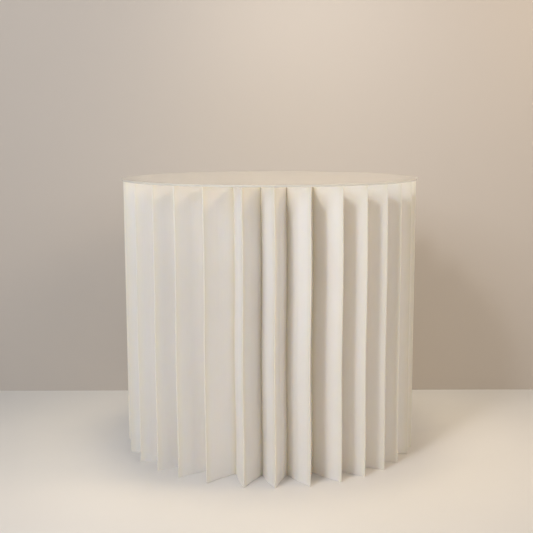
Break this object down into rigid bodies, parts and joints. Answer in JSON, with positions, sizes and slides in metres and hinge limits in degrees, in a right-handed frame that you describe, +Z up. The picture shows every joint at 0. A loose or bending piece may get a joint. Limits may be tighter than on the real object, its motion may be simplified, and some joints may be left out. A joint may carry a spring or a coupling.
{
  "type": "pleated display plinth",
  "caption": "Round display plinth: a standing wall of accordion pleats that folds flat, with a clear disc laid on top.",
  "frame": {"origin": "on the floor, on the axis of the disc", "axes": "+Z up; -Y is the front; the closing seam is at +Y"},
  "size_m": [0.8, 0.8, 0.735],
  "materials": {
    "pleated_sheet": "satin cream sheet, slightly translucent",
    "clear_disc": "clear polished acrylic",
    "closing_tape": "woven hook-and-loop tape"
  },
  "bodies": {
    "panel_01": {"panel_01": "pleated_sheet", "loop_tape": "closing_tape"},
    "panel_02": {"panel_02": "pleated_sheet"},
    "panel_03": {"panel_03": "pleated_sheet"},
    "panel_04": {"panel_04": "pleated_sheet"},
    "panel_05": {"panel_05": "pleated_sheet"},
    "panel_06": {"panel_06": "pleated_sheet"},
    "panel_07": {"panel_07": "pleated_sheet"},
    "panel_08": {"panel_08": "pleated_sheet"},
    "panel_09": {"panel_09": "pleated_sheet"},
    "panel_10": {"panel_10": "pleated_sheet"},
    "panel_11": {"panel_11": "pleated_sheet"},
    "panel_12": {"panel_12": "pleated_sheet"},
    "panel_13": {"panel_13": "pleated_sheet"},
    "panel_14": {"panel_14": "pleated_sheet"},
    "panel_15": {"panel_15": "pleated_sheet"},
    "panel_16": {"panel_16": "pleated_sheet"},
    "panel_17": {"panel_17": "pleated_sheet"},
    "panel_18": {"panel_18": "pleated_sheet"},
    "panel_19": {"panel_19": "pleated_sheet"},
    "panel_20": {"panel_20": "pleated_sheet"},
    "panel_21": {"panel_21": "pleated_sheet"},
    "panel_22": {"panel_22": "pleated_sheet"},
    "panel_23": {"panel_23": "pleated_sheet"},
    "panel_24": {"panel_24": "pleated_sheet"},
    "panel_25": {"panel_25": "pleated_sheet"},
    "panel_26": {"panel_26": "pleated_sheet"},
    "panel_27": {"panel_27": "pleated_sheet"},
    "panel_28": {"panel_28": "pleated_sheet"},
    "panel_29": {"panel_29": "pleated_sheet"},
    "panel_30": {"panel_30": "pleated_sheet"},
    "panel_31": {"panel_31": "pleated_sheet"},
    "panel_32": {"panel_32": "pleated_sheet"},
    "panel_33": {"panel_33": "pleated_sheet"},
    "panel_34": {"panel_34": "pleated_sheet"},
    "panel_35": {"panel_35": "pleated_sheet"},
    "panel_36": {"panel_36": "pleated_sheet"},
    "panel_37": {"panel_37": "pleated_sheet"},
    "panel_38": {"panel_38": "pleated_sheet"},
    "panel_39": {"panel_39": "pleated_sheet"},
    "panel_40": {"panel_40": "pleated_sheet"},
    "panel_41": {"panel_41": "pleated_sheet"},
    "panel_42": {"panel_42": "pleated_sheet"},
    "panel_43": {"panel_43": "pleated_sheet"},
    "panel_44": {"panel_44": "pleated_sheet"},
    "panel_45": {"panel_45": "pleated_sheet"},
    "panel_46": {"panel_46": "pleated_sheet"},
    "panel_47": {"panel_47": "pleated_sheet"},
    "panel_48": {"panel_48": "pleated_sheet"},
    "panel_49": {"panel_49": "pleated_sheet"},
    "panel_50": {"panel_50": "pleated_sheet"},
    "panel_51": {"panel_51": "pleated_sheet"},
    "panel_52": {"panel_52": "pleated_sheet"},
    "panel_53": {"panel_53": "pleated_sheet"},
    "panel_54": {"panel_54": "pleated_sheet"},
    "panel_55": {"panel_55": "pleated_sheet"},
    "panel_56": {"panel_56": "pleated_sheet"},
    "lap_panel": {"lap_panel": "pleated_sheet", "hook_tape": "closing_tape"},
    "top_disc": {"top_disc": "clear_disc"}
  },
  "joints": [
    {"name": "crease_01", "type": "hinge", "parent": "panel_02", "child": "panel_01", "pos_m": [0.03571, 0.39439, 0], "axis": [0, 0, -1], "range_deg": [0, 44.39]},
    {"name": "crease_02", "type": "hinge", "parent": "panel_03", "child": "panel_02", "pos_m": [-0.00975, 0.30983, 0], "axis": [0, 0, 1], "range_deg": [0, 58.35]},
    {"name": "crease_03", "type": "hinge", "parent": "panel_04", "child": "panel_03", "pos_m": [-0.06044, 0.39136, 0], "axis": [0, 0, -1], "range_deg": [0, 44.39]},
    {"name": "crease_04", "type": "hinge", "parent": "panel_05", "child": "panel_04", "pos_m": [-0.08418, 0.29834, 0], "axis": [0, 0, 1], "range_deg": [0, 58.35]},
    {"name": "crease_05", "type": "hinge", "parent": "panel_06", "child": "panel_05", "pos_m": [-0.15303, 0.36524, 0], "axis": [0, 0, -1], "range_deg": [0, 44.39]},
    {"name": "crease_06", "type": "hinge", "parent": "panel_07", "child": "panel_06", "pos_m": [-0.15363, 0.26924, 0], "axis": [0, 0, 1], "range_deg": [0, 58.35]},
    {"name": "crease_07", "type": "hinge", "parent": "panel_08", "child": "panel_07", "pos_m": [-0.23658, 0.31756, 0], "axis": [0, 0, -1], "range_deg": [0, 44.39]},
    {"name": "crease_08", "type": "hinge", "parent": "panel_09", "child": "panel_08", "pos_m": [-0.21402, 0.22425, 0], "axis": [0, 0, 1], "range_deg": [0, 58.35]},
    {"name": "crease_09", "type": "hinge", "parent": "panel_10", "child": "panel_09", "pos_m": [-0.30618, 0.25114, 0], "axis": [0, 0, -1], "range_deg": [0, 44.39]},
    {"name": "crease_10", "type": "hinge", "parent": "panel_11", "child": "panel_10", "pos_m": [-0.26178, 0.16602, 0], "axis": [0, 0, 1], "range_deg": [0, 58.35]},
    {"name": "crease_11", "type": "hinge", "parent": "panel_12", "child": "panel_11", "pos_m": [-0.3577, 0.1699, 0], "axis": [0, 0, -1], "range_deg": [0, 44.39]},
    {"name": "crease_12", "type": "hinge", "parent": "panel_13", "child": "panel_12", "pos_m": [-0.29409, 0.098, 0], "axis": [0, 0, 1], "range_deg": [0, 58.35]},
    {"name": "crease_13", "type": "hinge", "parent": "panel_14", "child": "panel_13", "pos_m": [-0.38811, 0.07863, 0], "axis": [0, 0, -1], "range_deg": [0, 44.39]},
    {"name": "crease_14", "type": "hinge", "parent": "panel_15", "child": "panel_14", "pos_m": [-0.30904, 0.0242, 0], "axis": [0, 0, 1], "range_deg": [0, 58.35]},
    {"name": "crease_15", "type": "hinge", "parent": "panel_16", "child": "panel_15", "pos_m": [-0.39562, -0.01727, 0], "axis": [0, 0, -1], "range_deg": [0, 48.34]},
    {"name": "crease_16", "type": "hinge", "parent": "panel_17", "child": "panel_16", "pos_m": [-0.30829, -0.05714, 0], "axis": [0, 0, 1], "range_deg": [0, 68.28]},
    {"name": "crease_17", "type": "hinge", "parent": "panel_18", "child": "panel_17", "pos_m": [-0.37554, -0.12565, 0], "axis": [0, 0, -1], "range_deg": [0, 45.68]},
    {"name": "crease_18", "type": "hinge", "parent": "panel_19", "child": "panel_18", "pos_m": [-0.27959, -0.12889, 0], "axis": [0, 0, 1], "range_deg": [0, 51.58]},
    {"name": "crease_19", "type": "hinge", "parent": "panel_20", "child": "panel_19", "pos_m": [-0.33944, -0.20396, 0], "axis": [0, 0, -1], "range_deg": [0, 39.08]},
    {"name": "crease_20", "type": "hinge", "parent": "panel_21", "child": "panel_20", "pos_m": [-0.24507, -0.18635, 0], "axis": [0, 0, 1], "range_deg": [0, 51.58]},
    {"name": "crease_21", "type": "hinge", "parent": "panel_22", "child": "panel_21", "pos_m": [-0.28725, -0.27259, 0], "axis": [0, 0, -1], "range_deg": [0, 36.43]},
    {"name": "crease_22", "type": "hinge", "parent": "panel_23", "child": "panel_22", "pos_m": [-0.20075, -0.23094, 0], "axis": [0, 0, 1], "range_deg": [0, 44.79]},
    {"name": "crease_23", "type": "hinge", "parent": "panel_24", "child": "panel_23", "pos_m": [-0.22996, -0.32239, 0], "axis": [0, 0, -1], "range_deg": [0, 35.54]},
    {"name": "crease_24", "type": "hinge", "parent": "panel_25", "child": "panel_24", "pos_m": [-0.15128, -0.26738, 0], "axis": [0, 0, 1], "range_deg": [0, 49.29]},
    {"name": "crease_25", "type": "hinge", "parent": "panel_26", "child": "panel_25", "pos_m": [-0.1579, -0.36316, 0], "axis": [0, 0, -1], "range_deg": [0, 40.93]},
    {"name": "crease_26", "type": "hinge", "parent": "panel_27", "child": "panel_26", "pos_m": [-0.08806, -0.29729, 0], "axis": [0, 0, 1], "range_deg": [0, 58.57]},
    {"name": "crease_27", "type": "hinge", "parent": "panel_28", "child": "panel_27", "pos_m": [-0.06536, -0.39057, 0], "axis": [0, 0, -1], "range_deg": [0, 39.18]},
    {"name": "crease_28", "type": "hinge", "parent": "panel_29", "child": "panel_28", "pos_m": [-0.02135, -0.30525, 0], "axis": [0, 0, 1], "range_deg": [0, 44.79]},
    {"name": "crease_29", "type": "hinge", "parent": "panel_29", "child": "panel_30", "pos_m": [0.01037, -0.39586, 0], "axis": [0, 0, 1], "range_deg": [0, 36.43]},
    {"name": "crease_30", "type": "hinge", "parent": "panel_30", "child": "panel_31", "pos_m": [0.04152, -0.30506, 0], "axis": [0, 0, -1], "range_deg": [0, 51.58]},
    {"name": "crease_31", "type": "hinge", "parent": "panel_31", "child": "panel_32", "pos_m": [0.0958, -0.38424, 0], "axis": [0, 0, 1], "range_deg": [0, 38.19]},
    {"name": "crease_32", "type": "hinge", "parent": "panel_32", "child": "panel_33", "pos_m": [0.10507, -0.28869, 0], "axis": [0, 0, -1], "range_deg": [0, 49.29]},
    {"name": "crease_33", "type": "hinge", "parent": "panel_33", "child": "panel_34", "pos_m": [0.17359, -0.35592, 0], "axis": [0, 0, 1], "range_deg": [0, 34.68]},
    {"name": "crease_34", "type": "hinge", "parent": "panel_34", "child": "panel_35", "pos_m": [0.15845, -0.26112, 0], "axis": [0, 0, -1], "range_deg": [0, 42.56]},
    {"name": "crease_35", "type": "hinge", "parent": "panel_35", "child": "panel_36", "pos_m": [0.23555, -0.31833, 0], "axis": [0, 0, 1], "range_deg": [0, 32.06]},
    {"name": "crease_36", "type": "hinge", "parent": "panel_36", "child": "panel_37", "pos_m": [0.20339, -0.22788, 0], "axis": [0, 0, -1], "range_deg": [0, 42.56]},
    {"name": "crease_37", "type": "hinge", "parent": "panel_37", "child": "panel_38", "pos_m": [0.28962, -0.27007, 0], "axis": [0, 0, 1], "range_deg": [0, 30.36]},
    {"name": "crease_38", "type": "hinge", "parent": "panel_38", "child": "panel_39", "pos_m": [0.23906, -0.18846, 0], "axis": [0, 0, -1], "range_deg": [0, 38.16]},
    {"name": "crease_39", "type": "hinge", "parent": "panel_39", "child": "panel_40", "pos_m": [0.33022, -0.21857, 0], "axis": [0, 0, 1], "range_deg": [0, 31.22]},
    {"name": "crease_40", "type": "hinge", "parent": "panel_40", "child": "panel_41", "pos_m": [0.27018, -0.14366, 0], "axis": [0, 0, -1], "range_deg": [0, 44.79]},
    {"name": "crease_41", "type": "hinge", "parent": "panel_41", "child": "panel_42", "pos_m": [0.36586, -0.15154, 0], "axis": [0, 0, 1], "range_deg": [0, 29.55]},
    {"name": "crease_42", "type": "hinge", "parent": "panel_42", "child": "panel_43", "pos_m": [0.28824, -0.09505, 0], "axis": [0, 0, -1], "range_deg": [0, 33.81]},
    {"name": "crease_43", "type": "hinge", "parent": "panel_43", "child": "panel_44", "pos_m": [0.38424, -0.0958, 0], "axis": [0, 0, 1], "range_deg": [0, 34.85]},
    {"name": "crease_44", "type": "hinge", "parent": "panel_44", "child": "panel_45", "pos_m": [0.30766, -0.0379, 0], "axis": [0, 0, -1], "range_deg": [0, 58.35]},
    {"name": "crease_45", "type": "hinge", "parent": "panel_45", "child": "panel_46", "pos_m": [0.396, -0.00032, 0], "axis": [0, 0, 1], "range_deg": [0, 44.39]},
    {"name": "crease_46", "type": "hinge", "parent": "panel_46", "child": "panel_47", "pos_m": [0.30772, 0.0374, 0], "axis": [0, 0, -1], "range_deg": [0, 58.35]},
    {"name": "crease_47", "type": "hinge", "parent": "panel_47", "child": "panel_48", "pos_m": [0.38439, 0.09518, 0], "axis": [0, 0, 1], "range_deg": [0, 44.39]},
    {"name": "crease_48", "type": "hinge", "parent": "panel_48", "child": "panel_49", "pos_m": [0.28962, 0.1105, 0], "axis": [0, 0, -1], "range_deg": [0, 58.35]},
    {"name": "crease_49", "type": "hinge", "parent": "panel_49", "child": "panel_50", "pos_m": [0.3501, 0.18506, 0], "axis": [0, 0, 1], "range_deg": [0, 44.39]},
    {"name": "crease_50", "type": "hinge", "parent": "panel_50", "child": "panel_51", "pos_m": [0.25443, 0.17708, 0], "axis": [0, 0, -1], "range_deg": [0, 58.35]},
    {"name": "crease_51", "type": "hinge", "parent": "panel_51", "child": "panel_52", "pos_m": [0.29515, 0.26402, 0], "axis": [0, 0, 1], "range_deg": [0, 44.39]},
    {"name": "crease_52", "type": "hinge", "parent": "panel_52", "child": "panel_53", "pos_m": [0.20422, 0.2332, 0], "axis": [0, 0, -1], "range_deg": [0, 58.35]},
    {"name": "crease_53", "type": "hinge", "parent": "panel_53", "child": "panel_54", "pos_m": [0.22277, 0.3274, 0], "axis": [0, 0, 1], "range_deg": [0, 44.39]},
    {"name": "crease_54", "type": "hinge", "parent": "panel_54", "child": "panel_55", "pos_m": [0.14197, 0.27557, 0], "axis": [0, 0, -1], "range_deg": [0, 58.35]},
    {"name": "crease_55", "type": "hinge", "parent": "panel_55", "child": "panel_56", "pos_m": [0.13725, 0.37145, 0], "axis": [0, 0, 1], "range_deg": [0, 46.54]},
    {"name": "crease_56", "type": "hinge", "parent": "panel_56", "child": "lap_panel", "pos_m": [0.06877, 0.30418, 0], "axis": [0, 0, -1], "range_deg": [0, 61.64]},
    {"name": "disc_lift", "type": "slide", "parent": "panel_29", "child": "top_disc", "axis": [0, 0, 1], "range_m": [0, 0.3]}
  ],
  "couplings": [
    {"joint": "crease_01", "follows": "crease_29", "ratio": 1.2185},
    {"joint": "crease_02", "follows": "crease_29", "ratio": 1.6015},
    {"joint": "crease_03", "follows": "crease_29", "ratio": 1.2185},
    {"joint": "crease_04", "follows": "crease_29", "ratio": 1.6015},
    {"joint": "crease_05", "follows": "crease_29", "ratio": 1.2185},
    {"joint": "crease_06", "follows": "crease_29", "ratio": 1.6015},
    {"joint": "crease_07", "follows": "crease_29", "ratio": 1.2185},
    {"joint": "crease_08", "follows": "crease_29", "ratio": 1.6015},
    {"joint": "crease_09", "follows": "crease_29", "ratio": 1.2185},
    {"joint": "crease_10", "follows": "crease_29", "ratio": 1.6015},
    {"joint": "crease_11", "follows": "crease_29", "ratio": 1.2185},
    {"joint": "crease_12", "follows": "crease_29", "ratio": 1.6015},
    {"joint": "crease_13", "follows": "crease_29", "ratio": 1.2185},
    {"joint": "crease_14", "follows": "crease_29", "ratio": 1.6015},
    {"joint": "crease_15", "follows": "crease_29", "ratio": 1.3268},
    {"joint": "crease_16", "follows": "crease_29", "ratio": 1.8742},
    {"joint": "crease_17", "follows": "crease_29", "ratio": 1.2538},
    {"joint": "crease_18", "follows": "crease_29", "ratio": 1.4157},
    {"joint": "crease_19", "follows": "crease_29", "ratio": 1.0726},
    {"joint": "crease_20", "follows": "crease_29", "ratio": 1.4157},
    {"joint": "crease_21", "follows": "crease_29", "ratio": 1},
    {"joint": "crease_22", "follows": "crease_29", "ratio": 1.2293},
    {"joint": "crease_23", "follows": "crease_29", "ratio": 0.97552},
    {"joint": "crease_24", "follows": "crease_29", "ratio": 1.353},
    {"joint": "crease_25", "follows": "crease_29", "ratio": 1.1235},
    {"joint": "crease_26", "follows": "crease_29", "ratio": 1.6076},
    {"joint": "crease_27", "follows": "crease_29", "ratio": 1.0753},
    {"joint": "crease_28", "follows": "crease_29", "ratio": 1.2293},
    {"joint": "crease_30", "follows": "crease_29", "ratio": 1.4157},
    {"joint": "crease_31", "follows": "crease_29", "ratio": 1.0481},
    {"joint": "crease_32", "follows": "crease_29", "ratio": 1.353},
    {"joint": "crease_33", "follows": "crease_29", "ratio": 0.95183},
    {"joint": "crease_34", "follows": "crease_29", "ratio": 1.1682},
    {"joint": "crease_35", "follows": "crease_29", "ratio": 0.87999},
    {"joint": "crease_36", "follows": "crease_29", "ratio": 1.1682},
    {"joint": "crease_37", "follows": "crease_29", "ratio": 0.83327},
    {"joint": "crease_38", "follows": "crease_29", "ratio": 1.0473},
    {"joint": "crease_39", "follows": "crease_29", "ratio": 0.85697},
    {"joint": "crease_40", "follows": "crease_29", "ratio": 1.2293},
    {"joint": "crease_41", "follows": "crease_29", "ratio": 0.81104},
    {"joint": "crease_42", "follows": "crease_29", "ratio": 0.92801},
    {"joint": "crease_43", "follows": "crease_29", "ratio": 0.95662},
    {"joint": "crease_44", "follows": "crease_29", "ratio": 1.6015},
    {"joint": "crease_45", "follows": "crease_29", "ratio": 1.2185},
    {"joint": "crease_46", "follows": "crease_29", "ratio": 1.6015},
    {"joint": "crease_47", "follows": "crease_29", "ratio": 1.2185},
    {"joint": "crease_48", "follows": "crease_29", "ratio": 1.6015},
    {"joint": "crease_49", "follows": "crease_29", "ratio": 1.2185},
    {"joint": "crease_50", "follows": "crease_29", "ratio": 1.6015},
    {"joint": "crease_51", "follows": "crease_29", "ratio": 1.2185},
    {"joint": "crease_52", "follows": "crease_29", "ratio": 1.6015},
    {"joint": "crease_53", "follows": "crease_29", "ratio": 1.2185},
    {"joint": "crease_54", "follows": "crease_29", "ratio": 1.6015},
    {"joint": "crease_55", "follows": "crease_29", "ratio": 1.2773},
    {"joint": "crease_56", "follows": "crease_29", "ratio": 1.6919}
  ]
}
